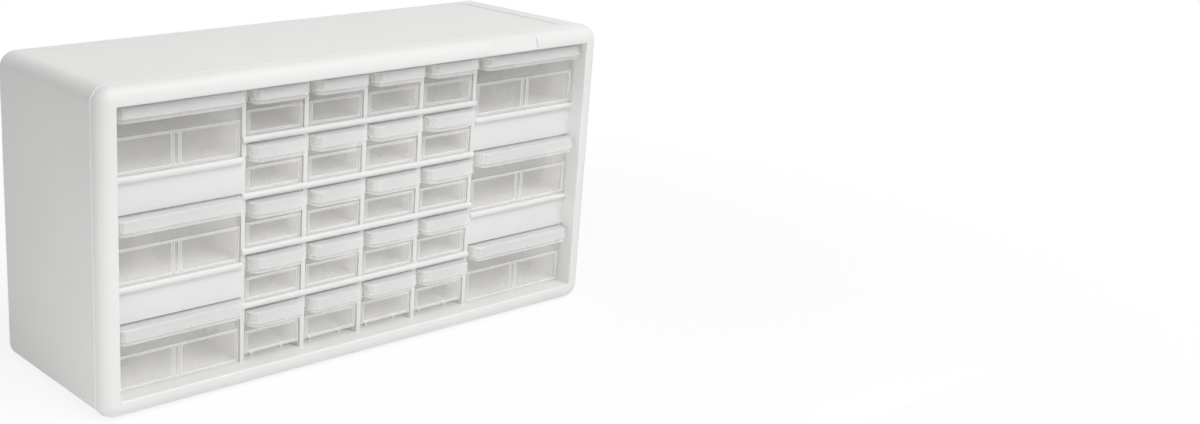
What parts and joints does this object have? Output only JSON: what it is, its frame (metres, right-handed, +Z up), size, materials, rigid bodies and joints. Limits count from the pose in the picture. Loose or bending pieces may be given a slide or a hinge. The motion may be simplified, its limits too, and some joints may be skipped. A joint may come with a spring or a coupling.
{
  "type": "parts drawer cabinet",
  "caption": "White plastic desktop cabinet with columns of small translucent drawers between wide ones, each pulled by a rounded finger hood, in a soft rounded front rim.",
  "frame": {"origin": "under the middle of the cabinet, on the surface that it stands on", "axes": "X to the right across the drawers, Y towards the back, Z up; the drawers pull out along -Y"},
  "size_m": [0.508, 0.158, 0.258],
  "materials": {
    "case_white": "white, fine satin moulding",
    "frame_white": "white, smooth satin",
    "drawer_frosted": "frosted translucent, smooth"
  },
  "bodies": {
    "cabinet": {"case_shell": "case_white", "front_bezel": "case_white", "back_panel": "case_white", "floor_panel": "frame_white", "ceiling_panel": "frame_white", "side_liner_left": "frame_white", "side_liner_right": "frame_white", "column_wall_left": "frame_white", "column_wall_right": "frame_white", "partition_left": "frame_white", "partition_middle": "frame_white", "partition_right": "frame_white", "small_shelf_1": "frame_white", "small_shelf_2": "frame_white", "small_shelf_3": "frame_white", "small_shelf_4": "frame_white", "large_shelf_left_lower": "frame_white", "large_shelf_left_upper": "frame_white", "large_shelf_right_lower": "frame_white", "large_shelf_right_upper": "frame_white"},
    "small_drawer_row1_col1": {"small_drawer_row1_col1": "drawer_frosted"},
    "small_drawer_row1_col2": {"small_drawer_row1_col2": "drawer_frosted"},
    "small_drawer_row1_col3": {"small_drawer_row1_col3": "drawer_frosted"},
    "small_drawer_row1_col4": {"small_drawer_row1_col4": "drawer_frosted"},
    "small_drawer_row2_col1": {"small_drawer_row2_col1": "drawer_frosted"},
    "small_drawer_row2_col2": {"small_drawer_row2_col2": "drawer_frosted"},
    "small_drawer_row2_col3": {"small_drawer_row2_col3": "drawer_frosted"},
    "small_drawer_row2_col4": {"small_drawer_row2_col4": "drawer_frosted"},
    "small_drawer_row3_col1": {"small_drawer_row3_col1": "drawer_frosted"},
    "small_drawer_row3_col2": {"small_drawer_row3_col2": "drawer_frosted"},
    "small_drawer_row3_col3": {"small_drawer_row3_col3": "drawer_frosted"},
    "small_drawer_row3_col4": {"small_drawer_row3_col4": "drawer_frosted"},
    "small_drawer_row4_col1": {"small_drawer_row4_col1": "drawer_frosted"},
    "small_drawer_row4_col2": {"small_drawer_row4_col2": "drawer_frosted"},
    "small_drawer_row4_col3": {"small_drawer_row4_col3": "drawer_frosted"},
    "small_drawer_row4_col4": {"small_drawer_row4_col4": "drawer_frosted"},
    "small_drawer_row5_col1": {"small_drawer_row5_col1": "drawer_frosted"},
    "small_drawer_row5_col2": {"small_drawer_row5_col2": "drawer_frosted"},
    "small_drawer_row5_col3": {"small_drawer_row5_col3": "drawer_frosted"},
    "small_drawer_row5_col4": {"small_drawer_row5_col4": "drawer_frosted"},
    "large_drawer_left_bottom": {"large_drawer_left_bottom": "drawer_frosted"},
    "large_drawer_left_middle": {"large_drawer_left_middle": "drawer_frosted"},
    "large_drawer_left_top": {"large_drawer_left_top": "drawer_frosted"},
    "large_drawer_right_bottom": {"large_drawer_right_bottom": "drawer_frosted"},
    "large_drawer_right_middle": {"large_drawer_right_middle": "drawer_frosted"},
    "large_drawer_right_top": {"large_drawer_right_top": "drawer_frosted"}
  },
  "joints": [
    {"name": "small_drawer_row1_col1_slide", "type": "slide", "parent": "cabinet", "child": "small_drawer_row1_col1", "axis": [0, -1, 0], "range_m": [0, 0.13]},
    {"name": "small_drawer_row1_col2_slide", "type": "slide", "parent": "cabinet", "child": "small_drawer_row1_col2", "axis": [0, -1, 0], "range_m": [0, 0.13]},
    {"name": "small_drawer_row1_col3_slide", "type": "slide", "parent": "cabinet", "child": "small_drawer_row1_col3", "axis": [0, -1, 0], "range_m": [0, 0.13]},
    {"name": "small_drawer_row1_col4_slide", "type": "slide", "parent": "cabinet", "child": "small_drawer_row1_col4", "axis": [0, -1, 0], "range_m": [0, 0.13]},
    {"name": "small_drawer_row2_col1_slide", "type": "slide", "parent": "cabinet", "child": "small_drawer_row2_col1", "axis": [0, -1, 0], "range_m": [0, 0.13]},
    {"name": "small_drawer_row2_col2_slide", "type": "slide", "parent": "cabinet", "child": "small_drawer_row2_col2", "axis": [0, -1, 0], "range_m": [0, 0.13]},
    {"name": "small_drawer_row2_col3_slide", "type": "slide", "parent": "cabinet", "child": "small_drawer_row2_col3", "axis": [0, -1, 0], "range_m": [0, 0.13]},
    {"name": "small_drawer_row2_col4_slide", "type": "slide", "parent": "cabinet", "child": "small_drawer_row2_col4", "axis": [0, -1, 0], "range_m": [0, 0.13]},
    {"name": "small_drawer_row3_col1_slide", "type": "slide", "parent": "cabinet", "child": "small_drawer_row3_col1", "axis": [0, -1, 0], "range_m": [0, 0.13]},
    {"name": "small_drawer_row3_col2_slide", "type": "slide", "parent": "cabinet", "child": "small_drawer_row3_col2", "axis": [0, -1, 0], "range_m": [0, 0.13]},
    {"name": "small_drawer_row3_col3_slide", "type": "slide", "parent": "cabinet", "child": "small_drawer_row3_col3", "axis": [0, -1, 0], "range_m": [0, 0.13]},
    {"name": "small_drawer_row3_col4_slide", "type": "slide", "parent": "cabinet", "child": "small_drawer_row3_col4", "axis": [0, -1, 0], "range_m": [0, 0.13]},
    {"name": "small_drawer_row4_col1_slide", "type": "slide", "parent": "cabinet", "child": "small_drawer_row4_col1", "axis": [0, -1, 0], "range_m": [0, 0.13]},
    {"name": "small_drawer_row4_col2_slide", "type": "slide", "parent": "cabinet", "child": "small_drawer_row4_col2", "axis": [0, -1, 0], "range_m": [0, 0.13]},
    {"name": "small_drawer_row4_col3_slide", "type": "slide", "parent": "cabinet", "child": "small_drawer_row4_col3", "axis": [0, -1, 0], "range_m": [0, 0.13]},
    {"name": "small_drawer_row4_col4_slide", "type": "slide", "parent": "cabinet", "child": "small_drawer_row4_col4", "axis": [0, -1, 0], "range_m": [0, 0.13]},
    {"name": "small_drawer_row5_col1_slide", "type": "slide", "parent": "cabinet", "child": "small_drawer_row5_col1", "axis": [0, -1, 0], "range_m": [0, 0.13]},
    {"name": "small_drawer_row5_col2_slide", "type": "slide", "parent": "cabinet", "child": "small_drawer_row5_col2", "axis": [0, -1, 0], "range_m": [0, 0.13]},
    {"name": "small_drawer_row5_col3_slide", "type": "slide", "parent": "cabinet", "child": "small_drawer_row5_col3", "axis": [0, -1, 0], "range_m": [0, 0.13]},
    {"name": "small_drawer_row5_col4_slide", "type": "slide", "parent": "cabinet", "child": "small_drawer_row5_col4", "axis": [0, -1, 0], "range_m": [0, 0.13]},
    {"name": "large_drawer_left_bottom_slide", "type": "slide", "parent": "cabinet", "child": "large_drawer_left_bottom", "axis": [0, -1, 0], "range_m": [0, 0.13]},
    {"name": "large_drawer_left_middle_slide", "type": "slide", "parent": "cabinet", "child": "large_drawer_left_middle", "axis": [0, -1, 0], "range_m": [0, 0.13]},
    {"name": "large_drawer_left_top_slide", "type": "slide", "parent": "cabinet", "child": "large_drawer_left_top", "axis": [0, -1, 0], "range_m": [0, 0.13]},
    {"name": "large_drawer_right_bottom_slide", "type": "slide", "parent": "cabinet", "child": "large_drawer_right_bottom", "axis": [0, -1, 0], "range_m": [0, 0.13]},
    {"name": "large_drawer_right_middle_slide", "type": "slide", "parent": "cabinet", "child": "large_drawer_right_middle", "axis": [0, -1, 0], "range_m": [0, 0.13]},
    {"name": "large_drawer_right_top_slide", "type": "slide", "parent": "cabinet", "child": "large_drawer_right_top", "axis": [0, -1, 0], "range_m": [0, 0.13]}
  ]
}
